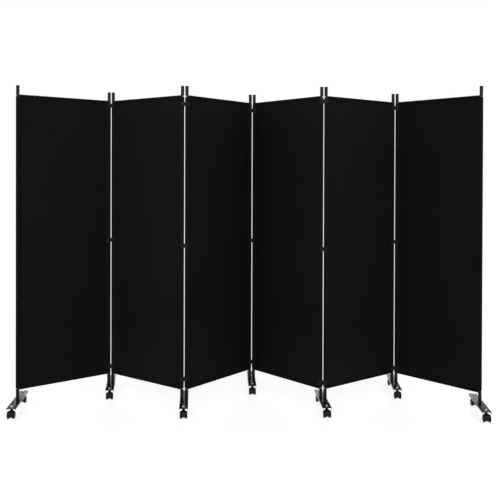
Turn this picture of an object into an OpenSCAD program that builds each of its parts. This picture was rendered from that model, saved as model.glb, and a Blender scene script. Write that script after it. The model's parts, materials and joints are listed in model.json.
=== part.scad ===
// Folding room divider: six stretched cloth panels on seven wheeled feet.
// Each foot carries upright spigots that the panel posts turn on, so the screen folds like an accordion.
// The origin is on the floor, at the middle of the standing screen. X runs along the screen, +Y to its back.

/* [Screen] */
// Height of the whole screen above the floor
screen_h = 1803; // [1200:1:2100]
// Distance between the two post axes of a panel
panel_w = 560; // [380:5:700]
// Distance between the axes of neighbouring posts on one foot
post_pitch = 24.5; // [24.5:0.5:40]

/* [Standing angles] */
// Angle of panel 1 to the line of the screen
fold_1 = 38; // [15:1:65]
// Angle of panel 2 to the line of the screen
fold_2 = 37; // [15:1:65]
// Angle of panel 3 to the line of the screen
fold_3 = 51; // [15:1:65]
// Angle of panel 4 to the line of the screen
fold_4 = 48; // [15:1:65]
// Angle of panel 5 to the line of the screen
fold_5 = 38; // [15:1:65]
// Angle of panel 6 to the line of the screen
fold_6 = 47; // [15:1:65]
// Turn of foot 1 from square to the line of the screen
foot_turn_1 = 5; // [-15:1:15]
// Turn of foot 2 from square to the line of the screen
foot_turn_2 = 8; // [-15:1:15]
// Turn of foot 3 from square to the line of the screen
foot_turn_3 = 4; // [-15:1:15]
// Turn of foot 4 from square to the line of the screen
foot_turn_4 = 2; // [-15:1:15]
// Turn of foot 5 from square to the line of the screen
foot_turn_5 = 3; // [-15:1:15]
// Turn of foot 6 from square to the line of the screen
foot_turn_6 = -3; // [-15:1:15]
// Turn of foot 7 from square to the line of the screen
foot_turn_7 = -4; // [-15:1:15]

/* [Posts] */
// Outside diameter of a post
post_d = 19; // [16:0.5:19]
// Wall of a post tube
post_wall = 1.2; // [1:0.1:2]
// Thickness of the end plug's head on top of a post
plug_head = 2.5; // [1:0.5:6]
// How far the end plug reaches into the post
plug_depth = 14; // [6:1:40]
// Edge rounding of the end plug's head
plug_round = 1; // [0.3:0.1:1]

/* [Rails] */
// Outside diameter of a rail
rail_d = 13; // [12:0.5:16]
// Wall of a rail tube
rail_wall = 1.2; // [1:0.1:2]
// Length of the solid end in each end of a rail
rail_end = 18; // [14:1:40]
// Diameter of a rail bolt's shank
bolt_d = 5; // [4:0.5:6]
// Diameter of a rail bolt's head
bolt_head_d = 9; // [7:0.5:11]
// Height of a rail bolt's head
bolt_head_h = 2; // [1:0.1:2.2]
// How far a rail bolt reaches into the rail
bolt_reach = 12; // [8:1:13]
// Width across the flats of the bolt's key socket
key_w = 3; // [2:0.5:4]
// Depth of the bolt's key socket
key_deep = 1.2; // [0.5:0.1:1.6]

/* [Cloth] */
// Thickness of the cloth where it is one sheet
cloth_t = 1.6; // [1:0.1:3]
// Thickness of the cloth round the posts and rails
sleeve_t = 0.8; // [0.5:0.1:1.1]
// How far the cloth's top edge lies below the tops of the posts
cloth_drop = 50; // [30:1:120]
// Height of the cloth's bottom edge above the foot bars
cloth_rise = 52; // [40:1:160]
// Height of the cut-out at each corner of the cloth, which leaves the rail bolt free
corner_cut = 15; // [14:0.5:24]
// Gap between the post and the end of a hem
hem_gap = 3; // [1:0.5:10]

/* [Hinge clips] */
// Height of a hinge clip
clip_h = 22; // [12:1:30]
// Wall of a hinge clip round each post
clip_wall = 2.3; // [1.5:0.1:2.4]
// Depth of the web between the two rings of a clip
clip_web = 15; // [8:1:20]
// Depth of the top clips below the cloth's top edge, at feet 2 to 6
clip_drop = [30, 50, 46, 32, 35]; // [30:1:120]
// Height of the bottom clips above the cloth's bottom edge, at feet 2 to 6
clip_rise = [45, 60, 48, 36, 30]; // [30:1:120]
// Depth of the middle clips below the middle of the cloth, at feet 2 to 6
clip_sag = [14, 17, 24, 35, 24]; // [-60:1:60]

/* [Foot bars] */
// Length of a foot bar
bar_l = 340; // [300:5:420]
// Width of a foot bar
bar_w = 48; // [44:0.5:48]
// Depth of a foot bar over its turned-down edges
bar_h = 10; // [6:0.5:11]
// Thickness of the foot bar's sheet
bar_sheet = 2; // [1.5:0.1:3]
// Outside bend radius of the foot bar's edges
bar_bend = 3; // [3:0.5:5]
// Corner radius of the foot bar in plan
bar_corner = 4; // [1:0.5:8]
// Wall of a spigot
spigot_wall = 1.5; // [1:0.1:3]
// Height of a spigot above the foot bar
spigot_h = 50; // [25:1:52]

/* [Casters] */
// Diameter of a caster wheel
wheel_d = 40; // [34:1:41]
// Width of one wheel
wheel_w = 13; // [10:0.5:15]
// Rounding of a wheel's tread edges
wheel_round = 4; // [1:0.5:4.5]
// Width of the hub cap on a wheel's outer face
hub_d = 22; // [14:1:26]
// How far the hub cap's face is sunk into the wheel
hub_sunk = 1; // [0.5:0.1:2]
// Gap between the two wheels of a caster
wheel_gap = 15; // [14.5:0.5:16]
// How far the wheels trail behind the swivel axis
trail = 14; // [10:0.5:14]
// Diameter of a caster axle
axle_d = 5; // [4:0.5:6]
// How far the axle ends inside a wheel's outer face
axle_short = 4; // [3:0.5:6]
// Height of the foot bars' top face above the floor
bar_top = 58; // [58:0.5:70]
// Distance of a caster stem from the end of its foot bar
stem_inset = 30; // [24:1:60]
// Diameter of a caster stem's thread
stem_d = 8; // [6:0.5:10]
// Diameter of the swivel pin below the stem's collar
pin_d = 7; // [5:0.5:7]
// Length of the swivel pin inside the housing
pin_l = 17; // [10:0.5:18]
// Diameter of the collar under the foot bar
collar_d = 14; // [12:0.5:18]
// Thickness of the collar
collar_t = 3; // [2:0.5:4]
// Width across the flats of the stem nut
nut_w = 13; // [10:0.5:16]
// Height of the stem nut
nut_h = 6.5; // [4:0.5:9]
// Height of the round crown on the stem nut
nut_crown = 1.5; // [0.5:0.1:3]
// Diameter of the housing's boss above the wheels
boss_d = 16; // [12:0.5:17]
// Thickness of the mudguard over the wheels
guard_t = 2; // [1.5:0.1:2.2]
// Width of the mudguard
guard_w = 24; // [18:1:44]
// Angle that the mudguard covers from straight up to its end behind the wheels
guard_behind = 105; // [60:1:115]
// Angle that the mudguard covers from straight up to its end under the swivel pin
guard_ahead = 60; // [50:1:70]

/* [Clearances] */
// Gap round a spigot, a clip's post, a swivel pin and an axle that turn
run_gap = 0.08; // [0.03:0.01:0.1]
// Gap between faces of two pieces that are fixed together
seat_gap = 0.05; // [0.02:0.01:0.1]
// Gap under a post that turns on its foot bar
thrust_gap = 0.3; // [0.2:0.1:0.8]
// Gap round a bolt or a stem in its hole
bolt_gap = 0.2; // [0.1:0.05:0.5]
// Gap between the cloth and the tube inside it
cloth_gap = 0.15; // [0.1:0.05:0.3]
// Gap between a hinge clip and the slot in the cloth
slot_gap = 1.2; // [0.6:0.1:4]
// Gap between a caster's wheels and its mudguard
guard_gap = 1.3; // [0.8:0.1:1.4]
// Gap between a caster's wheel and the web beside it
web_gap = 0.6; // [0.4:0.1:1.2]

/* [Hidden] */
$fn = 64;
PANELS = 6;
FEET = PANELS + 1;
SIDES = ["front", "rear"];
HEX = 6;
// Sides of the fan that cuts the mudguard out of a ring
FAN = 6;
fold = [fold_1, fold_2, fold_3, fold_4, fold_5, fold_6];
foot_turn = [foot_turn_1, foot_turn_2, foot_turn_3, foot_turn_4, foot_turn_5, foot_turn_6, foot_turn_7];

post_r = post_d / 2;
rail_r = rail_d / 2;
wheel_r = wheel_d / 2;
// Extra length that a cut runs past a face
past = 1;

// Heights, all above the floor
post_foot_z = bar_top + thrust_gap;
post_end_z = screen_h - plug_head - seat_gap;
cloth_top_z = screen_h - cloth_drop;
cloth_low_z = bar_top + cloth_rise;
cloth_mid_z = (cloth_top_z + cloth_low_z) / 2;
hem_r = rail_r + cloth_gap + sleeve_t;
rail_z = [cloth_low_z + hem_r, cloth_top_z - hem_r];
bar_under = bar_top - bar_sheet;
collar_z = bar_under - seat_gap - collar_t;
boss_top_z = collar_z - web_gap;

sleeve_r = post_r + cloth_gap + sleeve_t;
clip_r = post_r + run_gap + clip_wall;
spigot_r = post_r - post_wall - run_gap;
stem_y = bar_l / 2 - stem_inset;
web_w = wheel_gap - 2 * web_gap;
guard_r = wheel_r + guard_gap + guard_t;
pin_hole_z = collar_z - pin_l - web_gap;
// Height at which the mudguard's top crosses the swivel axis
guard_z = wheel_r + sqrt(guard_r * guard_r - trail * trail);
// Length of an axle from the middle of its caster
axle_half = wheel_gap / 2 + wheel_w - axle_short;
// Depth of the axle's blind hole in a wheel
axle_bore = wheel_w - axle_short + web_gap;

// Plan of the standing screen: panels lean to the back and to the front in turn
function along(a) = [cos(a), sin(a)];
function heading(i) = (i % 2 == 0 ? 1 : -1) * fold[i];
function is_end(k) = k == 0 || k == FEET - 1;
function post_offset(k) = is_end(k) ? 0 : post_pitch / 2;
function step(k) = post_offset(k - 1) * along(foot_turn[k - 1]) + panel_w * along(heading(k - 1))
    + post_offset(k) * along(foot_turn[k]);
function raw_foot(k) = k == 0 ? [0, 0] : raw_foot(k - 1) + step(k);
raw_x = [for (k = [0 : FEET - 1]) raw_foot(k).x];
raw_y = [for (k = [0 : FEET - 1]) raw_foot(k).y];
middle = [(min(raw_x) + max(raw_x)) / 2, (min(raw_y) + max(raw_y)) / 2];
function foot_at(k) = raw_foot(k) - middle;
function panel_at(i) = foot_at(i) + post_offset(i) * along(foot_turn[i]);
function spigots(k) = is_end(k) ? [0] : [-post_offset(k), post_offset(k)];

// Clip heights at foot k, counted from 0, and the heights of the cloth's slots beside it
function clip_z(k) = is_end(k) ? [] : [
    cloth_low_z + clip_rise[k - 1],
    cloth_mid_z - clip_sag[k - 1],
    cloth_top_z - clip_drop[k - 1]
];

// Puts a piece drawn about a foot's centre where foot k stands
module at_foot(k) {
    translate([foot_at(k).x, foot_at(k).y, 0]) rotate(foot_turn[k]) children();
}

// Puts a piece drawn from a panel's left post axis, along +X, where panel i stands
module at_panel(i) {
    translate([panel_at(i).x, panel_at(i).y, 0]) rotate(heading(i)) children();
}

// Draws a piece at both ends of a panel, turned so that -X points out of the panel
module both_ends() {
    children();
    translate([panel_w, 0, 0]) rotate(180) children();
}

// A rod along X from x = a to x = b at height z
module rod_x(r, a, b, z) {
    translate([a, 0, z]) rotate([0, 90, 0]) cylinder(r = r, h = b - a);
}

// A round column from one height to another
module column(d, low, high) {
    translate([0, 0, low]) cylinder(d = d, h = high - low);
}

// A plain ring standing on height z
module ring(outer, inner, h, z) {
    translate([0, 0, z]) difference() {
        cylinder(r = outer, h = h);
        translate([0, 0, -past]) cylinder(r = inner, h = h + 2 * past);
    }
}

// Cross-section of half a channel's outline, with round upper edges
module bar_outline(w, h, bend) {
    translate([-w / 2, -h]) square([w, h - bend]);
    translate([bend - w / 2, -h]) square([w - 2 * bend, h]);
    for (side = [-1, 1]) translate([side * (w / 2 - bend), -bend]) circle(r = bend);
}

// Plan of the foot bar with its rounded corners
module bar_plan() {
    square([bar_w - 2 * bar_corner, bar_l], center = true);
    square([bar_w, bar_l - 2 * bar_corner], center = true);
    for (x = [-1, 1], y = [-1, 1])
        translate([x * (bar_w / 2 - bar_corner), y * (bar_l / 2 - bar_corner)]) circle(r = bar_corner);
}

// The pressed channel of a foot, open underneath
module channel() {
    intersection() {
        translate([0, bar_l / 2 + past, bar_top]) rotate([90, 0, 0])
            linear_extrude(bar_l + 2 * past) difference() {
                bar_outline(bar_w, bar_h, bar_bend);
                translate([0, -bar_sheet]) bar_outline(bar_w - 2 * bar_sheet, bar_h, bar_bend - bar_sheet);
            }
        translate([0, 0, bar_top - bar_h - past]) linear_extrude(bar_h + 2 * past) bar_plan();
    }
}

// A caster stem: swivel pin, collar under the bar, thread through it and nut on top
module stem() {
    translate([0, 0, collar_z - pin_l]) cylinder(d = pin_d, h = pin_l + collar_t / 2);
    translate([0, 0, collar_z]) cylinder(d = collar_d, h = collar_t);
    translate([0, 0, collar_z]) cylinder(d = stem_d, h = bar_top - collar_z + nut_h);
    translate([0, 0, bar_top + seat_gap]) {
        cylinder(d = nut_w / cos(180 / HEX), h = nut_h - nut_crown, $fn = HEX);
        cylinder(d = nut_w - nut_crown, h = nut_h);
    }
}

module foot_bar(k) {
    color("#1c1c1d") at_foot(k) {
        difference() {
            channel();
            for (side = [-1, 1]) translate([0, side * stem_y, bar_top - bar_h])
                cylinder(r = stem_d / 2 + bolt_gap, h = bar_h + past);
        }
        // spigots, each a tube welded on the bar and drawn just clear of it
        for (x = spigots(k)) translate([x, 0, 0])
            ring(spigot_r, spigot_r - spigot_wall, spigot_h - seat_gap, bar_top + seat_gap);
    }
    color("#b8babd") at_foot(k) for (side = [-1, 1]) translate([0, side * stem_y, 0]) stem();
}

module hinge_clips(k) {
    color("#141414") at_foot(k) for (z = clip_z(k)) translate([0, 0, z - clip_h / 2]) difference() {
        union() {
            for (x = spigots(k)) translate([x, 0, 0]) cylinder(r = clip_r, h = clip_h);
            translate([-post_pitch / 2, -clip_web / 2, 0]) cube([post_pitch, clip_web, clip_h]);
        }
        for (x = spigots(k)) translate([x, 0, -past]) cylinder(r = post_r + run_gap, h = clip_h + 2 * past);
    }
}

// Puts a caster drawn about its swivel axis at the front or the rear of foot k
module at_caster(k, side) {
    at_foot(k) translate([0, side * stem_y, 0]) children();
}

// The part of a ring round the axle that lies between the mudguard's two ends
module guard() {
    fan = [for (j = [0 : FAN]) guard_ahead - j * (guard_ahead + guard_behind) / FAN];
    translate([0, -trail, wheel_r]) intersection() {
        rotate([0, 90, 0]) difference() {
            cylinder(r = guard_r, h = guard_w, center = true);
            difference() {
                cylinder(r = guard_r - guard_t, h = guard_w + past, center = true);
                cylinder(r = guard_r, h = web_w, center = true);
            }
        }
        rotate([90, 0, 90]) linear_extrude(guard_w + past, center = true)
            polygon(concat([[0, 0]], [for (a = fan) 2 * guard_r * [sin(a), cos(a)]]));
    }
}

module caster_housing(k, side) {
    color("#202021") at_caster(k, side) difference() {
        union() {
            guard();
            // web between the wheels
            translate([0, -trail, wheel_r]) rotate([0, 90, 0])
                cylinder(r = wheel_r - wheel_round - past, h = web_w, center = true);
            // boss round the swivel pin, narrow between the wheels and wide above them
            column(web_w, pin_hole_z - guard_t, boss_top_z);
            column(boss_d, guard_z - guard_t / 2, boss_top_z);
        }
        translate([0, 0, pin_hole_z]) cylinder(r = pin_d / 2 + run_gap, h = bar_top);
        // hole for the axle through the web
        translate([0, -trail, 0]) rod_x(axle_d / 2 + seat_gap / 2, -wheel_gap, wheel_gap, wheel_r);
    }
    color("#8d8f92") at_caster(k, side) translate([0, -trail, 0])
        rod_x(axle_d / 2, -axle_half, axle_half, wheel_r);
}

// One wheel, turned about its axle along X, with its inner face at x = 0
module wheel() {
    rotate([0, 90, 0]) rotate_extrude() difference() {
        union() {
            square([wheel_r - wheel_round, wheel_w]);
            translate([0, wheel_round]) square([wheel_r, wheel_w - 2 * wheel_round]);
            for (y = [wheel_round, wheel_w - wheel_round])
                translate([wheel_r - wheel_round, y]) circle(r = wheel_round);
        }
        translate([-past, wheel_w - hub_sunk]) square([hub_d / 2 + past, wheel_w]);
        translate([-past, -past]) square([axle_d / 2 + run_gap + past, axle_bore + past]);
    }
}

module caster_wheels(k, side) {
    color("#101011") at_caster(k, side) translate([0, -trail, wheel_r]) {
        translate([wheel_gap / 2, 0, 0]) wheel();
        translate([-wheel_gap / 2, 0, 0]) rotate(180) wheel();
    }
}

module posts(i) {
    color("#161617") at_panel(i) both_ends() {
        difference() {
            ring(post_r, post_r - post_wall, post_end_z - post_foot_z, post_foot_z);
            for (z = rail_z) rod_x(bolt_d / 2 + bolt_gap, -post_d, post_d, z);
        }
        // end plug: a shank in the tube under a rounded head
        translate([0, 0, post_end_z - plug_depth])
            cylinder(r = post_r - post_wall - seat_gap, h = plug_depth + 2 * seat_gap);
        translate([0, 0, post_end_z + seat_gap]) rotate_extrude() {
            square([post_r - plug_round, plug_head]);
            square([post_r, plug_head - plug_round]);
            translate([post_r - plug_round, plug_head - plug_round]) circle(r = plug_round);
        }
    }
}

// A bolt along X: head outside the post, shank through it into the rail
module rail_bolt(z) {
    difference() {
        union() {
            rod_x(bolt_d / 2, -post_r - seat_gap - bolt_head_h / 2, post_r + bolt_reach, z);
            rod_x(bolt_head_d / 2, -post_r - seat_gap - bolt_head_h, -post_r - seat_gap, z);
        }
        translate([-post_r - seat_gap - bolt_head_h - past, 0, z]) rotate([0, 90, 0])
            cylinder(d = key_w / cos(180 / HEX), h = key_deep + past, $fn = HEX);
    }
}

module rails(i) {
    color("#161617") at_panel(i) for (z = rail_z) difference() {
        rod_x(rail_r, 0, panel_w, z);
        // hollow middle, and a threaded hole in each solid end
        rod_x(rail_r - rail_wall, post_r + rail_end, panel_w - post_r - rail_end, z);
        rod_x(bolt_d / 2 + bolt_gap, -past, panel_w + past, z);
        both_ends() translate([0, 0, z - rail_d]) cylinder(r = post_r + seat_gap, h = 2 * rail_d);
    }
    color("#c4c6c9") at_panel(i) both_ends() for (z = rail_z) rail_bolt(z);
}

// The cloth's slots beside one post, where the hinge clips of foot k reach through
module clip_slots(k) {
    for (z = clip_z(k)) translate([0, 0, z - clip_h / 2 - slot_gap])
        cylinder(r = clip_r + slot_gap, h = clip_h + 2 * slot_gap);
}

// The corner cut-outs beside one post, clear of the bolts
module corner_cuts() {
    for (z = [cloth_low_z - past, cloth_top_z - corner_cut]) translate([-post_d, -post_d, z])
        cube([post_d + post_r + hem_gap, 2 * post_d, corner_cut + past]);
}

module cloth(i) {
    color("#1a1a1b") at_panel(i) difference() {
        union() {
            translate([0, -cloth_t / 2, cloth_low_z]) cube([panel_w, cloth_t, cloth_top_z - cloth_low_z]);
            for (z = rail_z) rod_x(hem_r, 0, panel_w, z);
            for (x = [0, panel_w]) translate([x, 0, cloth_low_z])
                cylinder(r = sleeve_r, h = cloth_top_z - cloth_low_z);
        }
        for (z = rail_z) rod_x(rail_r + cloth_gap, -past, panel_w + past, z);
        both_ends() {
            translate([0, 0, cloth_low_z - past])
                cylinder(r = post_r + cloth_gap, h = cloth_top_z - cloth_low_z + 2 * past);
            corner_cuts();
        }
        clip_slots(i);
        translate([panel_w, 0, 0]) clip_slots(i + 1);
    }
}

for (k = [1 : FEET]) foot_bar(k - 1);
for (k = [2 : FEET - 1]) hinge_clips(k - 1);
for (k = [1 : FEET], s = [0, 1]) {
    name = str(SIDES[s], "_", k);
    side = 2 * s - 1;
    caster_housing(k - 1, side);
    caster_wheels(k - 1, side);
}
for (i = [1 : PANELS]) posts(i - 1);
for (i = [1 : PANELS]) rails(i - 1);
for (i = [1 : PANELS]) cloth(i - 1);
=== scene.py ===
"""Looks of a folding room divider: sewn cloth, bolts, hinge clips, foot bars and casters, on a white floor.

Each kind of piece is modelled once about its own centre, and a copy is set down wherever the frame has one.
All lengths are in metres.
"""

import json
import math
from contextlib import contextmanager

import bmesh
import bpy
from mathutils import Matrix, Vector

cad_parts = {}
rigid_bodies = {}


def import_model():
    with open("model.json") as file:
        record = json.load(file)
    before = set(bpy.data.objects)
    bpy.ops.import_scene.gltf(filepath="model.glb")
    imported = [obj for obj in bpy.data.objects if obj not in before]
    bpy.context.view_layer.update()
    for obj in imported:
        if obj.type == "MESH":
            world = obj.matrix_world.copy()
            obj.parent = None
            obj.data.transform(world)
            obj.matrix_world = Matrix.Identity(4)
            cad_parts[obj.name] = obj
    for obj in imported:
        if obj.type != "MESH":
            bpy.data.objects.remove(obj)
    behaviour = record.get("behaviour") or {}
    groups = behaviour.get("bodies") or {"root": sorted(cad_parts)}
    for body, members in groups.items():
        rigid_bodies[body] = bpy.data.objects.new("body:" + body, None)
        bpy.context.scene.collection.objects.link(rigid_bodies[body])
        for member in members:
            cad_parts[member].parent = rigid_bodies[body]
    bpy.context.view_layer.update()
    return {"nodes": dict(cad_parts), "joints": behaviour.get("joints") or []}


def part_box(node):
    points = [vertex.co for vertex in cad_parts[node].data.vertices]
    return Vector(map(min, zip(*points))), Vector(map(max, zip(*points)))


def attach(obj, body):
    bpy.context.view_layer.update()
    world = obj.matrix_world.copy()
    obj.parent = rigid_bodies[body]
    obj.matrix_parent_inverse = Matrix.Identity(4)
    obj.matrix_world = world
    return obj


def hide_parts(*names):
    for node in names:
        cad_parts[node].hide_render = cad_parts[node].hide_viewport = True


bl_info = {
    "name": "Folding Room Divider",
    "version": (1, 0, 0),
    "blender": (4, 5, 0),
    "location": "View3D > Sidebar > Divider",
    "description": "Dresses a folding cloth screen that stands on wheeled feet",
    "category": "Object",
}

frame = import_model()

PANELS = range(1, 7)
FEET = range(1, 8)
HINGED_FEET = FEET[1:-1]
SIDES = ("front", "rear")
HEX = 6
# How far a cutter runs past the face that it cuts
PAST = 0.001
# Distance within which two points count as one
CLOSE = 1e-6
# Two neighbouring clips on a foot are further apart than this
CLIP_SPACING = 0.1
# Cells of the cloth's mesh round half a tube
WRAP_STEPS = 14
# Edges flatter than this are dissolved before a piece's edges are rounded
FLAT = math.radians(0.5)


def pivot(*bodies):
    """The point of the joint between two bodies."""
    joint = next(j for j in frame["joints"] if {j["parent"], j["child"]} == set(bodies))
    return Vector(joint["pos_m"])


def upright_at(origin, towards, axis):
    """The place on the floor under origin, turned so that its X or Y axis points to towards."""
    direction = (towards - origin).xy
    angle = math.atan2(direction.y, direction.x) - (math.pi / 2 if axis == "Y" else 0)
    return Matrix.Translation((origin.x, origin.y, 0)) @ Matrix.Rotation(angle, 4, "Z")


def panel_place(i):
    """Panel i's place: its left post stands on the origin and its right post on +X."""
    return upright_at(pivot(f"foot_{i}", f"panel_{i}"), pivot(f"foot_{i + 1}", f"panel_{i}"), "X")


def foot_place(k):
    """Foot k's place: the middle of its bar over the origin, and its rear caster on +Y."""
    front, rear = (pivot(f"foot_{k}", f"caster_{side}_{k}") for side in SIDES)
    return Matrix.Translation(((rear - front) / 2).xy.to_3d()) @ upright_at(front, rear, "Y")


def caster_place(k, side):
    """The place of a caster: the floor under its swivel axis, turned as its foot is."""
    centre = pivot(f"foot_{k}", f"caster_{side}_{k}")
    return Matrix.Translation((centre.x, centre.y, 0)) @ foot_place(k).to_3x3().to_4x4()


def clip_heights(k):
    """The middle heights of the clips on foot k, from the lowest to the highest."""
    heights = sorted({round(v.co.z, 5) for v in frame["nodes"][f"hinge_clips_{k}"].data.vertices})
    ends = [heights[0]]
    for low, high in zip(heights, heights[1:]):
        if high - low > CLIP_SPACING:
            ends += [low, high]
    ends.append(heights[-1])
    return [(low + high) / 2 for low, high in zip(ends[::2], ends[1::2])]


PANEL_WIDTH = (pivot("foot_2", "panel_1") - pivot("foot_1", "panel_1")).length
POST_PITCH = (pivot("foot_2", "panel_2") - pivot("foot_2", "panel_1")).length
STEM_REACH = (pivot("foot_1", "caster_rear_1") - pivot("foot_1", "caster_front_1")).length / 2
TRAIL = (pivot("caster_front_1", "wheels_front_1") - pivot("foot_1", "caster_front_1")).xy.length
CLOTH_LOW, CLOTH_TOP = (corner.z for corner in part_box("cloth_1"))
CLOTH_HEIGHT = CLOTH_TOP - CLOTH_LOW


def length(name, description, default):
    """A length in metres that a user may change."""
    return bpy.props.FloatProperty(
        name=name, description=description, default=default, min=0, precision=4, unit="LENGTH"
    )


def angle(name, description, degrees):
    """An angle that a user may change."""
    return bpy.props.FloatProperty(
        name=name, description=description, default=math.radians(degrees), unit="ROTATION"
    )


def colour(name, description, default):
    """A colour that a user may change."""
    return bpy.props.FloatVectorProperty(
        name=name, description=description, default=default, min=0, max=1, subtype="COLOR"
    )


class ClothSizes(bpy.types.PropertyGroup):
    sleeve: length("Sleeve", "Outside radius of the sleeve round a post", 0.01045)
    sleeve_seam: length("Sleeve seam", "Distance from a post's axis to the sleeve's seam", 0.0145)
    hem: length("Hem", "Outside radius of the hem round a rail", 0.00745)
    hem_seam: length("Hem seam", "Distance from a rail's axis to the hem's seam", 0.0115)
    sheet: length("Sheet", "Thickness of the cloth between the seams", 0.0016)
    seam_dip: length("Seam dip", "How far a seam pulls the cloth in on each side", 0.0003)
    post_tunnel: length("Post tunnel", "Radius of the tunnel for a post", 0.00965)
    rail_tunnel: length("Rail tunnel", "Radius of the tunnel for a rail", 0.00665)
    corner_cut: length("Corner cut", "Height of the cut-out at each corner", 0.015)
    corner_reach: length("Corner reach", "How far the cut-out goes past the post's axis", 0.0125)
    slot: length("Slot", "Radius of the slot that lets a clip reach the post", 0.01308)
    slot_height: length("Slot height", "Height of a clip's slot", 0.0244)
    ripple: length("Ripple", "How far the stretched cloth leaves its plane", 0.0012)
    cell: length("Cell", "Size of the cloth's mesh between the seams", 0.012)
    seam_width: length("Seam width", "Distance over which the cloth rises again past a seam", 0.0012)
    cut_width: length("Cut width", "Width of the cloth before it is sewn", 0.69)
    cut_length: length("Cut length", "Length of the cloth before it is sewn", 1.728)


class StitchSizes(bpy.types.PropertyGroup):
    pitch: length("Pitch", "Distance from one stitch to the next", 0.0038)
    stitch: length("Stitch", "Length of a stitch", 0.0029)
    thread: length("Thread", "Thickness of the thread", 0.0007)


class RailSizes(bpy.types.PropertyGroup):
    radius: length("Radius", "Outside radius of a rail", 0.0065)
    post: length("Post", "Outside radius of a post", 0.0095)
    seat: length("Seat", "Gap between a rail's end or a bolt's head and the post", 0.00005)
    head: length("Head", "Radius of a bolt's head", 0.0045)
    head_height: length("Head height", "Height of a bolt's head", 0.002)
    head_round: length("Head round", "Rounding of a bolt's head", 0.0012)
    key: length("Key", "Width across the flats of a bolt's key socket", 0.003)
    key_depth: length("Key depth", "Depth of a bolt's key socket", 0.0012)
    shank: length("Shank", "Radius of a bolt's shank", 0.0025)
    play: length("Play", "Gap round a bolt's shank", 0.0002)
    reach: length("Reach", "How far a bolt goes past the post's skin", 0.012)
    edge: length("Edge", "Rounding of a bolt's cut edges", 0.00015)


class ClipSizes(bpy.types.PropertyGroup):
    ring: length("Ring", "Outside radius of a clip's ring", 0.01188)
    bore: length("Bore", "Radius of a clip's bore", 0.00958)
    height: length("Height", "Height of a clip", 0.022)
    web: length("Web", "Depth of the web between the rings", 0.015)
    pocket: length("Pocket", "Depth of the moulded pocket in the web's face", 0.0012)
    pocket_width: length("Pocket width", "Width of the moulded pocket", 0.006)
    pocket_height: length("Pocket height", "Height of the moulded pocket", 0.015)
    edge: length("Edge", "Rounding of a clip's edges", 0.0006)


class FootSizes(bpy.types.PropertyGroup):
    bar_length: length("Length", "Length of a foot bar", 0.34)
    bar_width: length("Width", "Width of a foot bar", 0.048)
    bar_depth: length("Depth", "Depth of a foot bar over its edges", 0.01)
    sheet: length("Sheet", "Thickness of the bar's steel", 0.002)
    bend: length("Bend", "Outside radius of the bent edges", 0.003)
    corner: length("Corner", "Corner radius in plan", 0.004)
    edge: length("Edge", "Rounding of the cut edges", 0.0003)
    top: length("Top", "Height of the bar's top above the floor", 0.058)
    spigot: length("Spigot", "Outside radius of a spigot", 0.00822)
    spigot_wall: length("Spigot wall", "Wall of a spigot", 0.0015)
    spigot_height: length("Spigot height", "Height of a spigot above the bar", 0.05)
    nut: length("Nut", "Width across the flats of a stem nut", 0.013)
    nut_height: length("Nut height", "Height of a stem nut with its crown", 0.0065)
    crown_height: length("Crown height", "Height of a nut's round crown", 0.0015)
    nut_seat: length("Nut seat", "Gap between the bar and what is clamped to it", 0.00005)
    thread: length("Thread", "Radius of a caster stem's thread", 0.004)
    hole_play: length("Hole play", "Gap round a caster stem in the bar", 0.0002)
    collar: length("Collar", "Radius of the collar under the bar", 0.007)
    collar_height: length("Collar height", "Thickness of the collar", 0.003)
    pin: length("Pin", "Radius of the swivel pin", 0.0035)
    pin_length: length("Pin length", "Length of the swivel pin", 0.017)


class CasterSizes(bpy.types.PropertyGroup):
    wheel: length("Wheel", "Radius of a wheel", 0.02)
    wheel_width: length("Wheel width", "Width of one wheel", 0.013)
    wheel_round: length("Wheel round", "Rounding of a wheel's edges", 0.004)
    wheel_gap: length("Wheel gap", "Gap between the two wheels", 0.015)
    hub: length("Hub", "Radius of the hub cap", 0.011)
    hub_sunk: length("Hub sunk", "How far the hub cap is sunk", 0.001)
    hub_slope: length("Hub slope", "Width of each step's slope on the hub cap", 0.0004)
    hub_groove: length("Hub groove", "Width of the sunk groove round the hub cap", 0.0016)
    hub_ring: length("Hub ring", "Width of the raised ring on the hub cap", 0.0045)
    axle: length("Axle", "Radius of the axle", 0.0025)
    axle_play: length("Axle play", "Gap round the axle in a wheel", 0.00008)
    axle_half: length("Axle half", "Half the length of the axle", 0.0165)
    axle_edge: length("Axle edge", "Rounding of the axle's ends", 0.0003)
    web: length("Web", "Thickness of the body between the wheels", 0.0138)
    web_radius: length("Web radius", "Radius of the body between the wheels", 0.015)
    boss: length("Boss", "Radius of the boss under the collar", 0.008)
    boss_top: length("Boss top", "Height of the boss's top above the floor", 0.05235)
    guard: length("Guard", "Outside radius of the mudguard", 0.0233)
    guard_wall: length("Guard wall", "Thickness of the mudguard", 0.002)
    guard_width: length("Guard width", "Width of the mudguard", 0.024)
    guard_behind: angle("Guard behind", "From straight up to the mudguard's end behind the wheels", 105)
    guard_ahead: angle("Guard ahead", "From straight up to the mudguard's end under the pin", 60)
    pin_hole: length("Pin hole", "Radius of the hole for the swivel pin", 0.00358)
    pin_hole_low: length("Pin hole low", "Height of the pin hole's end above the floor", 0.03535)
    edge: length("Edge", "Rounding of the body's edges", 0.0005)


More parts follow.
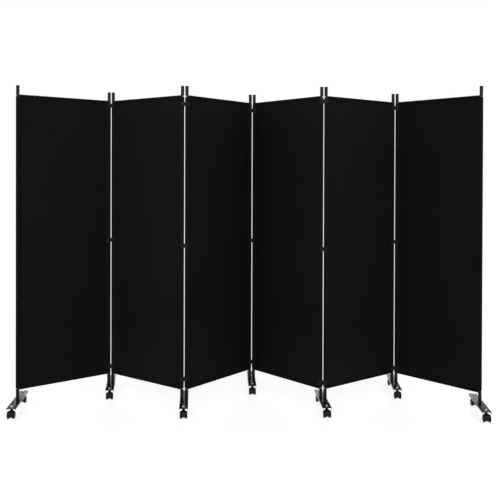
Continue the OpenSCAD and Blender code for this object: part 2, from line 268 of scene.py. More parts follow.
class Colours(bpy.types.PropertyGroup):
    cloth: colour("Cloth", "Colour of the woven cloth", (0.0062, 0.0062, 0.0064))
    thread: colour("Thread", "Colour of the sewing thread", (0.012, 0.012, 0.0125))
    paint: colour("Paint", "Colour of the paint on posts and rails", (0.0045, 0.0045, 0.0048))
    enamel: colour("Enamel", "Colour of the foot bars' gloss enamel", (0.007, 0.007, 0.007))
    plastic: colour("Plastic", "Colour of the hinge clips", (0.006, 0.006, 0.006))
    nylon: colour("Nylon", "Colour of the caster bodies", (0.009, 0.009, 0.0095))
    tyre: colour("Tyre", "Colour of the wheels", (0.006, 0.006, 0.006))
    plating: colour("Plating", "Colour of the plated bolts and nuts", (0.78, 0.78, 0.79))


class StageSettings(bpy.types.PropertyGroup):
    camera: bpy.props.FloatVectorProperty(
        name="Camera", description="Place of the camera", default=(0.0087, -4.3148, 1.3039), unit="LENGTH"
    )
    tilt: angle("Tilt", "How far the camera looks down", 0.422)
    roll: angle("Roll", "Turn of the camera about its own axis", 0.172)
    lens: bpy.props.FloatProperty(name="Lens", description="Focal length in millimetres", default=53.27)
    rise: bpy.props.FloatProperty(name="Rise", description="Shift of the lens, as a share", default=-0.1372)
    floor: length("Floor", "Side of the floor", 60.0)
    daylight: bpy.props.FloatProperty(
        name="Daylight", description="Strength of the light from all round", default=0.5
    )
    lamp: bpy.props.FloatProperty(name="Lamp", description="Power of each lamp in watts", default=90)
    lamp_side: length("Lamp side", "Distance of each lamp to the side of the middle", 3.2)
    lamp_front: length("Lamp front", "Distance of each lamp in front of the middle", 3.4)
    lamp_height: length("Lamp height", "Height of each lamp", 3.0)
    lamp_size: length("Lamp size", "Side of each square lamp", 2.2)
    aim: length("Aim", "Height at which the lamps point", 0.9)
    shade: bpy.props.FloatProperty(
        name="Shade", description="How much of a shadow the white floor shows", default=0.3, subtype="FACTOR"
    )
    glow: bpy.props.FloatProperty(
        name="Glow", description="Brightness of the floor's white where no shadow falls", default=1.2
    )


GROUPS = {
    "cloth": ClothSizes,
    "stitches": StitchSizes,
    "rails": RailSizes,
    "clips": ClipSizes,
    "feet": FootSizes,
    "casters": CasterSizes,
    "colours": Colours,
    "stage": StageSettings,
}


def settings(group):
    """One group of this scene's sizes or colours."""
    return getattr(bpy.context.scene, f"divider_{group}")


def take(obj):
    """Makes an object the active one and the only one selected."""
    bpy.ops.object.select_all(action="DESELECT")
    obj.select_set(True)
    bpy.context.view_layer.objects.active = obj
    return obj


@contextmanager
def editing(obj, elements="FACE"):
    """Edit mode on one object, with nothing selected to start with."""
    take(obj)
    bpy.ops.object.mode_set(mode="EDIT")
    bpy.ops.mesh.select_mode(type=elements)
    bpy.ops.mesh.select_all(action="DESELECT")
    yield
    bpy.ops.object.mode_set(mode="OBJECT")


def pick(obj, elements, test):
    """In edit mode, selects only the faces, edges or verts that pass a test."""
    bpy.ops.mesh.select_all(action="DESELECT")
    mesh = bmesh.from_edit_mesh(obj.data)
    for element in getattr(mesh, elements):
        if test(element):
            element.select_set(True)
    bmesh.update_edit_mesh(obj.data)


def settle(obj):
    """Moves an object's place, turn and size into its mesh."""
    take(obj)
    bpy.ops.object.transform_apply(location=True, rotation=True, scale=True)
    return obj


def modify(obj, kind, **values):
    """Adds a modifier and applies it."""
    take(obj)
    modifier = obj.modifiers.new(kind, kind)
    for name, value in values.items():
        setattr(modifier, name, value)
    bpy.ops.object.modifier_apply(modifier=modifier.name)
    return obj


def combine(obj, other, operation="UNION"):
    """Adds another solid to an object, cuts it away, or keeps what both fill. The other one is removed."""
    modify(obj, "BOOLEAN", object=other, operation=operation, solver="MANIFOLD")
    bpy.data.objects.remove(other)
    return obj


def cut(obj, *cutters):
    """Cuts other solids away from an object, and removes them."""
    for cutter in cutters:
        combine(obj, cutter, "DIFFERENCE")
    return obj


def join(obj, *others):
    """Makes several objects one, as loose parts of one mesh."""
    take(obj)
    for other in others:
        other.select_set(True)
    bpy.ops.object.join()
    return obj


def round_edges(obj, width, segments=2, degrees=40):
    """Rounds every edge sharper than some degrees, after flat faces in one plane are made one."""
    modify(obj, "DECIMATE", decimate_type="DISSOLVE", angle_limit=FLAT)
    return modify(
        obj, "BEVEL", width=width, segments=segments, limit_method="ANGLE", angle_limit=math.radians(degrees)
    )


def rod(radius, low, high, axis="Z", sides=48, ends="NGON"):
    """A round bar about the X or the Z axis, from low to high along it."""
    bpy.ops.object.select_all(action="DESELECT")
    bpy.ops.mesh.primitive_cylinder_add(
        vertices=sides, radius=radius, depth=high - low, end_fill_type=ends,
        location=Vector((axis == "X", 0, axis == "Z")) * (low + high) / 2,
        rotation=(0, math.pi / 2 if axis == "X" else 0, 0)
    )
    return settle(bpy.context.object)


def block(low, high):
    """A box between two corners."""
    low, high = Vector(low), Vector(high)
    bpy.ops.object.select_all(action="DESELECT")
    bpy.ops.mesh.primitive_cube_add(size=1, location=(low + high) / 2)
    bpy.context.object.scale = high - low
    return settle(bpy.context.object)


def tube(radius, wall, low, high):
    """A round upright tube."""
    return modify(rod(radius, low, high, ends="NOTHING"), "SOLIDIFY", thickness=wall, offset=-1)


def shift(obj, x=0, y=0, z=0):
    """Moves an object's mesh, while the object stays at the origin."""
    obj.data.transform(Matrix.Translation((x, y, z)))
    return obj


def copied(obj, place=Matrix.Identity(4)):
    """A copy with its own mesh, at another place."""
    twin = obj.copy()
    twin.data = obj.data.copy()
    twin.data.transform(place)
    bpy.context.scene.collection.objects.link(twin)
    return twin


def smooth(obj, degrees=35):
    """Shades an object smoothly across every edge that is flatter than some degrees."""
    take(obj)
    bpy.ops.object.shade_smooth_by_angle(angle=math.radians(degrees))
    return obj


def discard(*models):
    """Removes models once their copies are set down."""
    for model in models:
        bpy.data.objects.remove(model)


def set_down(model, name, place, body, finish, replaced):
    """Sets a copy of a model down as a piece that rides on a body and stands for a node."""
    piece = copied(model, place)
    piece.name = piece.data.name = name
    piece.data.materials.clear()
    piece.data.materials.append(FINISHES[finish])
    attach(piece, body)
    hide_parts(replaced)
    return piece


FINISHES = {}


class Finish:
    """A material and the nodes that feed its shader."""

    def __init__(self, name, base, roughness, **sockets):
        self.material = bpy.data.materials.new(name)
        self.material.use_nodes = True
        self.material.diffuse_color = (*base, 1)
        self.tree = self.material.node_tree
        self.shader = self.tree.nodes["Principled BSDF"]
        self.base, self.roughness = base, roughness
        self.shader.inputs["Base Color"].default_value = (*base, 1)
        self.shader.inputs["Roughness"].default_value = roughness
        for socket, value in sockets.items():
            self.shader.inputs[socket.replace("_", " ")].default_value = value
        FINISHES[name] = self.material

    def node(self, kind, inputs=None, **values):
        """A new node, with its properties set and its sockets fed."""
        node = self.tree.nodes.new(f"ShaderNode{kind}")
        for name, value in values.items():
            setattr(node, name, value)
        for socket, value in (inputs or {}).items():
            self.feed(node.inputs[socket], value)
        return node

    def feed(self, socket, value):
        """Links another node's output to a socket, or sets a plain value on it."""
        if isinstance(value, bpy.types.NodeSocket):
            self.tree.links.new(value, socket)
        else:
            socket.default_value = value

    def maths(self, operation, a, b=0.0):
        """The result of an operation on two values."""
        return self.node("Math", {0: a, 1: b}, operation=operation).outputs[0]

    def place(self):
        """Where a point lies on the piece."""
        return self.node("TexCoord").outputs["Object"]

    def noise(self, size, detail=2.0, at=None):
        """Soft noise from 0 to 1 whose patches are about a size across."""
        inputs = {"Vector": at or self.place(), "Scale": 1 / size, "Detail": detail}
        return self.node("TexNoise", inputs).outputs["Fac"]

    def between(self, value, low, high):
        """A value that runs from 0 to 1, laid between two others."""
        return self.node("MapRange", {"Value": value, "To Min": low, "To Max": high}).outputs["Result"]

    def tint(self, value, share):
        """Makes the base colour darker and lighter by a share, as value runs from 0 to 1."""
        mix = self.node("Mix", data_type="RGBA")
        factor, dark, light = mix.inputs[0], mix.inputs[6], mix.inputs[7]
        self.feed(factor, value)
        dark.default_value = (*(c * (1 - share) for c in self.base), 1)
        light.default_value = (*(c * (1 + share) for c in self.base), 1)
        self.feed(self.shader.inputs["Base Color"], mix.outputs[2])

    def wear(self, value, share):
        """Makes the surface glossier and duller by a share, as value runs from 0 to 1."""
        rough = self.between(value, self.roughness * (1 - share), self.roughness * (1 + share))
        self.feed(self.shader.inputs["Roughness"], rough)

    def bump(self, height, depth):
        """Raises the surface by depth where height is 1."""
        node = self.node("Bump", {"Height": height, "Distance": depth})
        self.feed(self.shader.inputs["Normal"], node.outputs["Normal"])


def woven(base):
    """Plain-woven black polyester, whose yarns follow the cloth's own map in metres."""
    finish = Finish(
        "woven_cloth", base, roughness=0.62, Specular_IOR_Level=0.02, Sheen_Weight=0.02, Sheen_Roughness=0.4
    )
    weave = finish.node("UVMap", uv_map="Cut").outputs["UV"]
    run = finish.node("SeparateXYZ", {0: weave})
    yarn = 0.0006
    warp, weft = (
        finish.maths("SINE", finish.maths("MULTIPLY", run.outputs[axis], math.pi / yarn)) for axis in (0, 1)
    )
    crossing = finish.maths("MULTIPLY", warp, weft)
    # thick places in the yarn, drawn out along it
    drawn_out = finish.node("Mapping", {"Vector": weave, "Scale": (1, 0.06, 1)}).outputs[0]
    slub = finish.noise(size=0.003, detail=3.0, at=drawn_out)
    finish.bump(finish.maths("ADD", crossing, slub), depth=0.00012)
    clouds = finish.maths("ADD", finish.noise(size=0.3), slub)
    finish.tint(finish.maths("MULTIPLY", clouds, 0.5), share=0.35)


def twisted(base):
    """Sewing thread."""
    finish = Finish("sewing_thread", base, roughness=0.5, Specular_IOR_Level=0.3)
    finish.bump(finish.noise(size=0.0004), depth=0.00006)
    finish.tint(finish.noise(size=0.02), share=0.2)


def powder_coat(base):
    """Satin powder coat with fine orange peel."""
    finish = Finish("powder_coat", base, roughness=0.34, Specular_IOR_Level=0.14)
    finish.bump(finish.noise(size=0.0011), depth=0.00002)
    finish.wear(finish.noise(size=0.06, detail=4.0), share=0.2)
    finish.tint(finish.noise(size=0.15), share=0.12)


def enamel(base):
    """Gloss enamel that mirrors what stands on it, with faint dust."""
    finish = Finish("gloss_enamel", base, roughness=0.08, Specular_IOR_Level=0.12)
    finish.bump(finish.noise(size=0.02), depth=0.00003)
    finish.wear(finish.noise(size=0.03, detail=6.0), share=0.5)
    finish.tint(finish.noise(size=0.008, detail=6.0), share=0.3)


def moulded(name, base, roughness, grain, specular):
    """Moulded plastic with a fine grain and slightly polished patches."""
    finish = Finish(name, base, roughness, Specular_IOR_Level=specular)
    finish.bump(finish.noise(grain, detail=3.0), depth=0.00003)
    finish.wear(finish.noise(size=0.01, detail=5.0), share=0.2)
    finish.tint(finish.noise(size=0.012), share=0.15)


def plated(base):
    """Bright zinc plating with fine marks."""
    finish = Finish("bright_plating", base, roughness=0.16, Metallic=1.0)
    finish.bump(finish.noise(size=0.0005, detail=4.0), depth=0.000008)
    finish.wear(finish.noise(size=0.002, detail=4.0), share=0.4)
    finish.tint(finish.noise(size=0.003), share=0.08)


class DIVIDER_OT_finishes(bpy.types.Operator):
    """Make the finish of every kind of surface"""

    bl_idname = "divider.finishes"
    bl_label = "Finishes"

    def execute(self, context):
        colours = settings("colours")
        woven(colours.cloth)
        twisted(colours.thread)
        powder_coat(colours.paint)
        enamel(colours.enamel)
        moulded("clip_plastic", colours.plastic, roughness=0.5, grain=0.0006, specular=0.1)
        moulded("caster_nylon", colours.nylon, roughness=0.45, grain=0.0008, specular=0.12)
        moulded("wheel_nylon", colours.tyre, roughness=0.4, grain=0.0012, specular=0.11)
        plated(colours.plating)
        return {"FINISHED"}


class DIVIDER_OT_posts(bpy.types.Operator):
    """Paint the posts"""

    bl_idname = "divider.posts"
    bl_label = "Posts"

    def execute(self, context):
        for i in PANELS:
            post = frame["nodes"][f"posts_{i}"]
            post.data.materials.clear()
            post.data.materials.append(FINISHES["powder_coat"])
        return {"FINISHED"}


def tube_edge(radius, seam, cloth):
    """The cloth's skin from a tube's far side to past its seam: distances from the axis, and heights."""
    half = cloth.sheet / 2
    meets = math.acos(radius / seam)
    turns = [math.pi - (math.pi - meets) * j / WRAP_STEPS for j in range(WRAP_STEPS + 1)]
    points = [(radius * math.cos(turn), radius * math.sin(turn)) for turn in turns]
    points[0] = (-radius, 0)
    x, height = points[-1]
    # two more points on the straight run down to the seam
    points += [(x + (seam - x) * share, height + (half - height) * share) for share in (0.4, 0.8)]
    return points + [(seam, half - cloth.seam_dip), (seam + cloth.seam_width, half)]


def skin_line(span, radius, seam, cloth):
    """Points across a cloth with a tube's axis at 0 and another's at span: place, height, run of cloth."""
    left = tube_edge(radius, seam, cloth)
    right = [(span - x, height) for x, height in reversed(left)]
    start, end = left[-1][0], right[0][0]
    steps = round((end - start) / cloth.cell)
    middle = [(start + (end - start) * j / steps, cloth.sheet / 2) for j in range(1, steps)]
    points, run, before = [], 0, left[0]
    for x, height in left + middle + right:
        run += math.hypot(x - before[0], height - before[1])
        before = x, height
        points.append((x, height, run))
    return points


def ripple(across, up, phase):
    """The stretched cloth's lean out of its plane, from -1 to 1. Both places run from 0 to 1.

    The waves were chosen, and the phase keeps any two panels from creasing alike.
    """
    held = math.sin(math.pi * across) * math.sin(math.pi * up)
    slow = math.sin(2.3 * math.pi * across + 1.7 * up + phase)
    long = math.sin(1.9 * math.pi * up + 2.1 * phase)
    fine = math.sin(9 * math.pi * across + 2 * math.sin(3 * up + phase))
    return held * (0.5 * slow + 0.35 * long + 0.15 * fine)


def skin(columns, rows, side, cloth, phase):
    """One face of a cloth: a grid laid on its columns and rows, with a map of the uncut cloth in metres."""
    bpy.ops.object.select_all(action="DESELECT")
    bpy.ops.mesh.primitive_grid_add(x_subdivisions=len(columns) - 1, y_subdivisions=len(rows) - 1)
    mesh = bpy.context.object.data
    held = 2 * cloth.sleeve_seam
    for vertex in mesh.vertices:
        row, column = divmod(vertex.index, len(columns))
        (x, bulge_x, _), (z, bulge_z, _) = columns[column], rows[row]
        bulge = max(bulge_x, bulge_z) if min(bulge_x, bulge_z) > 0 else 0
        across = (x - held) / (PANEL_WIDTH - 2 * held)
        up = (z - held) / (CLOTH_HEIGHT - 2 * held)
        lean = cloth.ripple * ripple(min(max(across, 0), 1), min(max(up, 0), 1), phase)
        vertex.co = (x, lean + side * bulge, z)
    layer = mesh.uv_layers[0]
    layer.name = "Cut"
    for loop in mesh.loops:
        row, column = divmod(loop.vertex_index, len(columns))
        layer.data[loop.index].uv = (columns[column][2], rows[row][2])
    return bpy.context.object


def cloth_cutters(i, cloth):
    """What a cloth is cut back by: tunnels for posts and rails, corners, and slots for the clips."""
    yield from (shift(rod(cloth.post_tunnel, -PAST, CLOTH_HEIGHT + PAST), x) for x in (0, PANEL_WIDTH))
    for z in (cloth.hem, CLOTH_HEIGHT - cloth.hem):
        yield shift(rod(cloth.rail_tunnel, 0, PANEL_WIDTH, "X"), z=z)
    far = cloth.sleeve + PAST
    for low, high in ((-PAST, cloth.corner_cut), (CLOTH_HEIGHT - cloth.corner_cut, CLOTH_HEIGHT + PAST)):
        yield block((-far, -far, low), (cloth.corner_reach, far, high))
        yield block((PANEL_WIDTH - cloth.corner_reach, -far, low), (PANEL_WIDTH + far, far, high))
    half = cloth.slot_height / 2
    for x, k in ((0, i), (PANEL_WIDTH, i + 1)):
        for z in clip_heights(k) if k in HINGED_FEET else []:
            middle = z - CLOTH_LOW
            yield shift(rod(cloth.slot, middle - half, middle + half), x)


def stitch_row(axis, count, sizes):
    """A row of stitches along X or Z that starts at the origin."""
    bpy.ops.object.select_all(action="DESELECT")
    bpy.ops.mesh.primitive_ico_sphere_add(subdivisions=1, radius=0.5)
    stitch = bpy.context.object
    long = Vector((axis == "X", 0, axis == "Z"))
    stitch.scale = Vector((sizes.thread,) * 3) + long * (sizes.stitch - sizes.thread)
    stitch.location = long * sizes.stitch / 2
    settle(stitch)
    return modify(
        stitch, "ARRAY", count=count, use_relative_offset=False, use_constant_offset=True,
        constant_offset_displace=long * sizes.pitch
    )


def stitching(cloth, sizes):
    """The stitches along both sleeves and both hems, on both faces of a cloth."""
    low, high = cloth.hem + cloth.hem_seam, CLOTH_HEIGHT - cloth.hem - cloth.hem_seam
    left, right = cloth.sleeve_seam, PANEL_WIDTH - cloth.sleeve_seam
    upright = stitch_row("Z", round((high - low) / sizes.pitch), sizes)
    level = stitch_row("X", round((right - left) / sizes.pitch), sizes)
    # a quarter of the thread sinks into the cloth
    out = cloth.sheet / 2 - cloth.seam_dip + sizes.thread / 4
    rows = []
    for y in (-out, out):
        rows += [copied(upright, Matrix.Translation((x, y, low))) for x in (left, right)]
        rows += [copied(level, Matrix.Translation((left, y, z))) for z in (low, high)]
    discard(upright, level)
    return smooth(join(*rows), degrees=80)


class DIVIDER_OT_cloth(bpy.types.Operator):
    """Replace the plain cloths with sewn ones"""

    bl_idname = "divider.cloth"
    bl_label = "Cloth"

    def execute(self, context):
        cloth = settings("cloth")
        thread = stitching(cloth, settings("stitches"))
        columns = skin_line(PANEL_WIDTH, cloth.sleeve, cloth.sleeve_seam, cloth)
        rows = [
            (z + cloth.hem, height, run)
            for z, height, run in skin_line(CLOTH_HEIGHT - 2 * cloth.hem, cloth.hem, cloth.hem_seam, cloth)
        ]
        for i in PANELS:
            sheet = join(*(skin(columns, rows, side, cloth, i) for side in (-1, 1)))
            with editing(sheet):
                bpy.ops.mesh.select_all(action="SELECT")
                bpy.ops.mesh.remove_doubles(threshold=CLOSE)
                bpy.ops.mesh.normals_make_consistent(inside=False)
            cut(sheet, *cloth_cutters(i, cloth))
            for spare in [layer.name for layer in sheet.data.uv_layers if layer.name != "Cut"]:
                sheet.data.uv_layers.remove(sheet.data.uv_layers[spare])
            smooth(sheet, degrees=50)
            place = panel_place(i) @ Matrix.Translation((0, 0, CLOTH_LOW))
            body, node = f"panel_{i}", f"cloth_{i}"
            sewn = set_down(sheet, f"sewn_cloth_{i}", place, body, "woven_cloth", node)
            stitches = set_down(thread, f"stitching_{i}", place, body, "sewing_thread", node)
            discard(sheet)
        discard(thread)
        return {"FINISHED"}


def rail_model(sizes):
    """A rail along X between the posts of a panel, with ends that fit round them."""
    rail = rod(sizes.radius, 0, PANEL_WIDTH, "X", sides=40)
    for x in (0, PANEL_WIDTH):
        cut(rail, shift(rod(sizes.post + sizes.seat, -2 * sizes.radius, 2 * sizes.radius, sides=64), x))
    return smooth(cut(rail, rod(sizes.shank + sizes.play, 0, PANEL_WIDTH, "X", sides=24)))


def bolt_model(sizes):
    """A bolt that goes into a post from -X, with a round head and a key socket."""
    under = -sizes.post - sizes.seat
    head = rod(sizes.head, under - sizes.head_height, under, "X", sides=40)
    with editing(head, "EDGE"):
        rim = under - sizes.head_height + PAST / 2
        pick(head, "edges", lambda edge: all(v.co.x < rim for v in edge.verts))
        bpy.ops.mesh.bevel(offset=sizes.head_round, segments=4, affect="EDGES")
    combine(head, rod(sizes.shank, under - sizes.head_height / 2, sizes.post + sizes.reach, "X", sides=24))
    key, face = sizes.key / 2 / math.cos(math.pi / HEX), under - sizes.head_height
    cut(head, rod(key, face - PAST, face + sizes.key_depth, "X", sides=HEX))
    return smooth(round_edges(head, sizes.edge))


class DIVIDER_OT_rails(bpy.types.Operator):
    """Replace the plain rails with painted tubes and plated bolts"""

    bl_idname = "divider.rails"
    bl_label = "Rails"

    def execute(self, context):
        sizes = settings("rails")
        heights = [CLOTH_LOW + settings("cloth").hem, CLOTH_TOP - settings("cloth").hem]
        rail, bolt = rail_model(sizes), bolt_model(sizes)
        ends = Matrix.Identity(4), Matrix.Translation((PANEL_WIDTH, 0, 0)) @ Matrix.Rotation(math.pi, 4, "Z")
        corners = [Matrix.Translation((0, 0, z)) @ end for z in heights for end in ends]
        rails = join(*(copied(rail, Matrix.Translation((0, 0, z))) for z in heights))
        bolts = join(*(copied(bolt, corner) for corner in corners))
        for i in PANELS:
            place, body, node = panel_place(i), f"panel_{i}", f"rails_{i}"
            set_down(rails, f"rail_tubes_{i}", place, body, "powder_coat", node)
            set_down(bolts, f"rail_bolts_{i}", place, body, "bright_plating", node)
        discard(rail, bolt, rails, bolts)
        return {"FINISHED"}


def clip_model(sizes):
    """A moulded clip: two rings on a web, with a pocket in each face of the web."""
    half, web = sizes.height / 2, sizes.web / 2
    centres = (-POST_PITCH / 2, POST_PITCH / 2)
    clip = block((centres[0], -web, -half), (centres[1], web, half))
    for x in centres:
        combine(clip, shift(rod(sizes.ring, -half, half, sides=64), x))
    for x in centres:
        cut(clip, shift(rod(sizes.bore, -half - PAST, half + PAST, sides=64), x))
    across, up = sizes.pocket_width / 2, sizes.pocket_height / 2
    cut(
        clip,
        block((-across, -web - PAST, -up), (across, sizes.pocket - web, up)),
        block((-across, web - sizes.pocket, -up), (across, web + PAST, up)),
    )
    return smooth(round_edges(clip, sizes.edge))


class DIVIDER_OT_clips(bpy.types.Operator):
    """Replace the plain hinge clips with moulded ones"""

    bl_idname = "divider.clips"
    bl_label = "Hinge Clips"

    def execute(self, context):
        clip = clip_model(settings("clips"))
        for k in HINGED_FEET:
            three = join(*(copied(clip, Matrix.Translation((0, 0, z))) for z in clip_heights(k)))
            set_down(
                three, f"moulded_clips_{k}", foot_place(k), f"foot_{k}", "clip_plastic", f"hinge_clips_{k}",
            )
            discard(three)
        discard(clip)
        return {"FINISHED"}


def bar_model(sizes):
    """A foot bar: steel sheet bent down along both sides, with round corners and two holes for the stems."""
    half, reach = sizes.bar_width / 2, sizes.bar_length / 2
    bar = block((-half, -reach - PAST, sizes.top - sizes.bar_depth - PAST), (half, reach + PAST, sizes.top))
    with editing(bar):
        pick(bar, "faces", lambda face: abs(face.normal.y) > 0.5 or face.normal.z < -0.5)
        bpy.ops.mesh.delete(type="FACE")
        bpy.ops.mesh.select_mode(type="EDGE")
        pick(bar, "edges", lambda edge: not edge.is_boundary)
        bpy.ops.mesh.bevel(offset=sizes.bend, segments=6, affect="EDGES")
    modify(bar, "SOLIDIFY", thickness=sizes.sheet, offset=-1, use_even_offset=True)
    plan = block((-half - PAST, -reach, sizes.top - sizes.bar_depth), (half + PAST, reach, sizes.top + PAST))
    combine(bar, plan, "INTERSECT")
    corners = block((-half, -reach, sizes.top - 2 * sizes.bar_depth), (half, reach, sizes.top + PAST))
    with editing(corners, "EDGE"):
        pick(corners, "edges", lambda edge: abs(edge.verts[0].co.z - edge.verts[1].co.z) > PAST)
        bpy.ops.mesh.bevel(offset=sizes.corner, segments=6, affect="EDGES")
    combine(bar, corners, "INTERSECT")
    for y in (-STEM_REACH, STEM_REACH):
        cut(bar, shift(rod(sizes.thread + sizes.hole_play, 0, 2 * sizes.top, sides=32), y=y))
    return smooth(round_edges(bar, sizes.edge))


def spigot_model(sizes):
    """The tube welded on a bar, over which a post turns."""
    low, high = sizes.top - sizes.sheet / 2, sizes.top + sizes.spigot_height
    return smooth(round_edges(tube(sizes.spigot, sizes.spigot_wall, low, high), sizes.edge))


def stem_model(sizes):
    """A caster stem: swivel pin, collar, thread through the bar, and a crowned nut."""
    under = sizes.top - sizes.sheet - sizes.nut_seat
    low = under - sizes.collar_height
    stem = rod(sizes.pin, low - sizes.pin_length, under - sizes.collar_height / 2)
    combine(stem, round_edges(rod(sizes.collar, low, under), sizes.edge))
    combine(stem, rod(sizes.thread, under - sizes.collar_height / 2, sizes.top + sizes.nut_height / 2))
    seat, top = sizes.top + sizes.nut_seat, sizes.top + sizes.nut_height + sizes.nut_seat
    flat_top = top - sizes.crown_height
    nut = rod(sizes.nut / 2 / math.cos(math.pi / HEX), seat, flat_top, sides=HEX)
    turned = rod(sizes.nut / 2 / math.cos(math.pi / HEX), seat, flat_top, sides=60)
    combine(nut, round_edges(turned, sizes.crown_height / 2), "INTERSECT")
    crown = rod((sizes.nut - sizes.crown_height) / 2, seat, top, sides=48)
    with editing(crown, "EDGE"):
        pick(crown, "edges", lambda edge: all(v.co.z > flat_top for v in edge.verts))
        bpy.ops.mesh.bevel(offset=sizes.crown_height, segments=5, affect="EDGES")
    combine(nut, crown)
    return smooth(join(stem, nut), degrees=30)


class DIVIDER_OT_feet(bpy.types.Operator):
    """Replace the plain foot bars with pressed ones and plated stems"""

    bl_idname = "divider.feet"
    bl_label = "Foot Bars"

    def execute(self, context):
        sizes = settings("feet")
        bar, spigot, stem = bar_model(sizes), spigot_model(sizes), stem_model(sizes)
        stems = join(*(copied(stem, Matrix.Translation((0, y, 0))) for y in (-STEM_REACH, STEM_REACH)))
        for k in FEET:
            offsets = (-POST_PITCH / 2, POST_PITCH / 2) if k in HINGED_FEET else (0,)
            foot = join(copied(bar), *(copied(spigot, Matrix.Translation((x, 0, 0))) for x in offsets))
            place, body, node = foot_place(k), f"foot_{k}", f"foot_bar_{k}"
            set_down(foot, f"pressed_foot_{k}", place, body, "gloss_enamel", node)
            set_down(stems, f"caster_stems_{k}", place, body, "bright_plating", node)
            discard(foot)
        discard(bar, spigot, stem, stems)
        return {"FINISHED"}


def arc(width, inner, outer, behind, ahead, centre_z):
    """A bar along X with a square section, spun about the axle from behind the wheels to under the pin."""
    bpy.ops.object.select_all(action="DESELECT")
    bpy.ops.mesh.primitive_plane_add(size=1, location=(0, 0, (inner + outer) / 2))
    obj = bpy.context.object
    obj.scale = (width, outer - inner, 1)
    obj.rotation_euler = (math.pi / 2, 0, 0)
    settle(obj)
    obj.data.transform(Matrix.Rotation(-ahead, 4, "X"))
    with editing(obj):
        bpy.ops.mesh.select_all(action="SELECT")
        bpy.ops.mesh.spin(steps=32, angle=behind + ahead, center=(0, 0, 0), axis=(-1, 0, 0))
        bpy.ops.mesh.select_all(action="SELECT")
        bpy.ops.mesh.remove_doubles(threshold=CLOSE)
        bpy.ops.mesh.normals_make_consistent(inside=False)
    return shift(obj, y=-TRAIL, z=centre_z)


def caster_body_model(sizes):
    """The caster's body: mudguard over the wheels, web between them and boss round the swivel pin."""
    axle_z = sizes.wheel
    sector = sizes.guard_behind, sizes.guard_ahead, axle_z
    guard = arc(sizes.guard_width, sizes.guard - sizes.guard_wall, sizes.guard, *sector)
    body = arc(sizes.web, sizes.axle, sizes.guard - sizes.guard_wall / 2, *sector)
    combine(body, guard)
    disc = rod(sizes.web_radius, -sizes.web / 2, sizes.web / 2, "X", sides=64)
    combine(body, shift(disc, y=-TRAIL, z=axle_z))
    combine(body, rod(sizes.web / 2, sizes.pin_hole_low - sizes.guard_wall, sizes.boss_top, sides=64))
    crest = axle_z + math.sqrt(sizes.guard ** 2 - TRAIL ** 2)
    combine(body, rod(sizes.boss, crest - sizes.guard_wall / 2, sizes.boss_top, sides=64))
    cut(
        body,
        rod(sizes.pin_hole, sizes.pin_hole_low, sizes.boss_top + PAST, sides=32),
        shift(rod(sizes.axle, -sizes.web, sizes.web, "X", sides=32), y=-TRAIL, z=axle_z),
    )
    return smooth(round_edges(body, sizes.edge))


def wheel_model(sizes):
    """A wheel about the axle, with its inner face at x = 0 and a ringed, sunk hub cap on its outer face."""
    wheel = rod(sizes.wheel, 0, sizes.wheel_width, "X", sides=64)
    with editing(wheel):
        pick(wheel, "faces", lambda face: face.normal.x > 0.9)
        steps = (
            (sizes.wheel - sizes.hub, 0),
            (sizes.hub_slope, -sizes.hub_sunk),
            (sizes.hub_groove, 0),
            (sizes.hub_slope, sizes.hub_sunk / 2),
            (sizes.hub_ring, 0),
            (sizes.hub_slope, -sizes.hub_sunk / 2),
        )
        for inwards, rise in steps:
            bpy.ops.mesh.inset(thickness=inwards, depth=rise)
        bpy.ops.mesh.select_mode(type="EDGE")
        rim = sizes.wheel - CLOSE
        pick(
            wheel, "edges",
            lambda edge: abs(edge.verts[0].co.x - edge.verts[1].co.x) < CLOSE
            and all(v.co.yz.length > rim for v in edge.verts)
        )
        bpy.ops.mesh.bevel(offset=sizes.wheel_round, segments=6, affect="EDGES")
    blind = sizes.axle_half - sizes.wheel_gap / 2 + (sizes.wheel_gap - sizes.web) / 2
    cut(wheel, rod(sizes.axle + sizes.axle_play, -PAST, blind, "X", sides=32))
    return smooth(wheel, degrees=40)


class DIVIDER_OT_casters(bpy.types.Operator):
    """Replace the plain casters with moulded ones"""

    bl_idname = "divider.casters"
    bl_label = "Casters"

    def execute(self, context):
        sizes = settings("casters")
        at_axle = Matrix.Translation((0, -TRAIL, sizes.wheel))
        body, wheel = caster_body_model(sizes), wheel_model(sizes)
        axle = rod(sizes.axle, -sizes.axle_half, sizes.axle_half, "X", sides=32)
        smooth(round_edges(axle, sizes.axle_edge)).data.transform(at_axle)
        half_gap = Matrix.Translation((sizes.wheel_gap / 2, 0, 0))
        turned = Matrix.Rotation(math.pi, 4, "Z")
        wheels = join(copied(wheel, at_axle @ half_gap), copied(wheel, at_axle @ turned @ half_gap))
        for k in FEET:
            for side in SIDES:
                place, which = caster_place(k, side), f"{side}_{k}"
                rides, node = f"caster_{which}", f"caster_housing_{which}"
                set_down(body, f"caster_body_{which}", place, rides, "caster_nylon", node)
                set_down(axle, f"caster_axle_{which}", place, rides, "bright_plating", node)
                set_down(
                    wheels, f"wheel_pair_{which}", place, f"wheels_{which}", "wheel_nylon",
                    f"caster_wheels_{which}"
                )
        discard(body, wheel, axle, wheels)
        return {"FINISHED"}


def seen_ray(tree):
    """1 for a ray from the camera or one mirrored or passed on by a surface, and 0 for soft light."""
    path = tree.nodes.new("ShaderNodeLightPath")
    total = path.outputs["Is Camera Ray"]
    for name in ("Is Glossy Ray", "Is Transmission Ray"):
        add = tree.nodes.new("ShaderNodeMath")
        add.operation = "MAXIMUM"
        tree.links.new(total, add.inputs[0])
        tree.links.new(path.outputs[name], add.inputs[1])
        total = add.outputs[0]
    return total


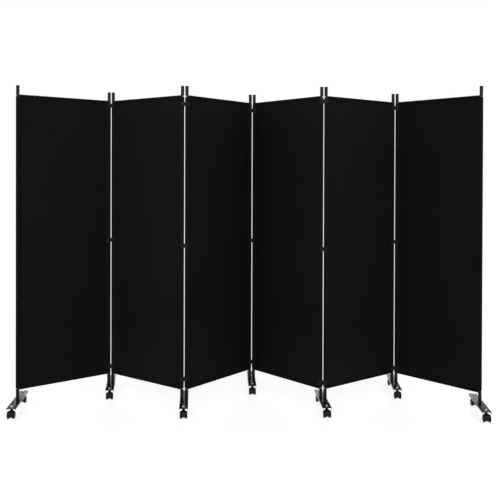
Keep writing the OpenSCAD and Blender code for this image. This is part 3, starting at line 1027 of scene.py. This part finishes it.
def white_surroundings(daylight):
    """A world that is seen and mirrored as white, and lights the object softly."""
    world = bpy.data.worlds.new("studio")
    bpy.context.scene.world = world
    world.use_nodes = True
    tree = world.node_tree
    strength = tree.nodes.new("ShaderNodeMapRange")
    strength.inputs["To Min"].default_value = daylight
    tree.links.new(seen_ray(tree), strength.inputs["Value"])
    background = tree.nodes["Background"]
    background.inputs["Color"].default_value = (1, 1, 1, 1)
    tree.links.new(strength.outputs["Result"], background.inputs["Strength"])


def white_floor(side, shade, brightness):
    """A floor that is seen as white, apart from a share that takes the object's shadow."""
    bpy.ops.object.select_all(action="DESELECT")
    bpy.ops.mesh.primitive_plane_add(size=side)
    floor = bpy.context.object
    floor.name = "floor"
    finish = Finish("white_floor", (0.85, 0.85, 0.85), roughness=0.3, Specular_IOR_Level=0.25)
    finish.tint(finish.noise(size=0.5), share=0.005)
    glow = finish.node("Emission", {"Color": (1, 1, 1, 1), "Strength": brightness})
    share = finish.maths("MULTIPLY", seen_ray(finish.tree), 1 - shade)
    mix = finish.node("MixShader", {0: share, 1: finish.shader.outputs[0], 2: glow.outputs[0]})
    finish.feed(finish.tree.nodes["Material Output"].inputs["Surface"], mix.outputs[0])
    floor.data.materials.append(finish.material)


def soft_lamp(name, place, target, size, power):
    """A square lamp at a place, turned to a target."""
    light = bpy.data.lights.new(name, "AREA")
    light.shape, light.size, light.energy = "SQUARE", size, power
    lamp = bpy.data.objects.new(name, light)
    turn = (Vector(target) - Vector(place)).to_track_quat("-Z", "Y").to_matrix().to_4x4()
    lamp.matrix_world = Matrix.Translation(place) @ turn
    bpy.context.scene.collection.objects.link(lamp)


class DIVIDER_OT_stage(bpy.types.Operator):
    """Set the camera, the white floor and the soft lights"""

    bl_idname = "divider.stage"
    bl_label = "Stage"

    def execute(self, context):
        stage = settings("stage")
        context.scene.view_settings.view_transform = "Standard"
        eye = bpy.data.cameras.new("camera")
        eye.lens, eye.shift_y = stage.lens, stage.rise
        camera = bpy.data.objects.new("camera", eye)
        turn = Matrix.Rotation(math.pi / 2 - stage.tilt, 4, "X") @ Matrix.Rotation(stage.roll, 4, "Z")
        camera.matrix_world = Matrix.Translation(stage.camera) @ turn
        context.scene.collection.objects.link(camera)
        context.scene.camera = camera
        white_surroundings(stage.daylight)
        white_floor(stage.floor, stage.shade, stage.glow)
        for name, x in (("left_lamp", -stage.lamp_side), ("right_lamp", stage.lamp_side)):
            place = x, -stage.lamp_front, stage.lamp_height
            soft_lamp(name, place, (0, 0, stage.aim), stage.lamp_size, stage.lamp)
        return {"FINISHED"}


class DIVIDER_PT_sidebar(bpy.types.Panel):
    """The divider's sizes, colours and pieces"""

    bl_label = "Folding Room Divider"
    bl_space_type = "VIEW_3D"
    bl_region_type = "UI"
    bl_category = "Divider"

    def draw(self, context):
        for group, kind in GROUPS.items():
            box = self.layout.box()
            box.label(text=group.capitalize())
            for name in kind.__annotations__:
                box.prop(settings(group), name)
        for operator in STEPS:
            self.layout.operator(operator.bl_idname)


STEPS = (
    DIVIDER_OT_finishes,
    DIVIDER_OT_posts,
    DIVIDER_OT_rails,
    DIVIDER_OT_cloth,
    DIVIDER_OT_clips,
    DIVIDER_OT_feet,
    DIVIDER_OT_casters,
    DIVIDER_OT_stage,
)
CLASSES = (*GROUPS.values(), *STEPS, DIVIDER_PT_sidebar)


def register():
    for kind in CLASSES:
        bpy.utils.register_class(kind)
    for group, kind in GROUPS.items():
        setattr(bpy.types.Scene, f"divider_{group}", bpy.props.PointerProperty(type=kind))


def unregister():
    for group in GROUPS:
        delattr(bpy.types.Scene, f"divider_{group}")
    for kind in reversed(CLASSES):
        bpy.utils.unregister_class(kind)


def main():
    register()
    for step in STEPS:
        getattr(bpy.ops.divider, step.bl_idname.split(".")[1])()


if __name__ == "__main__":
    main()
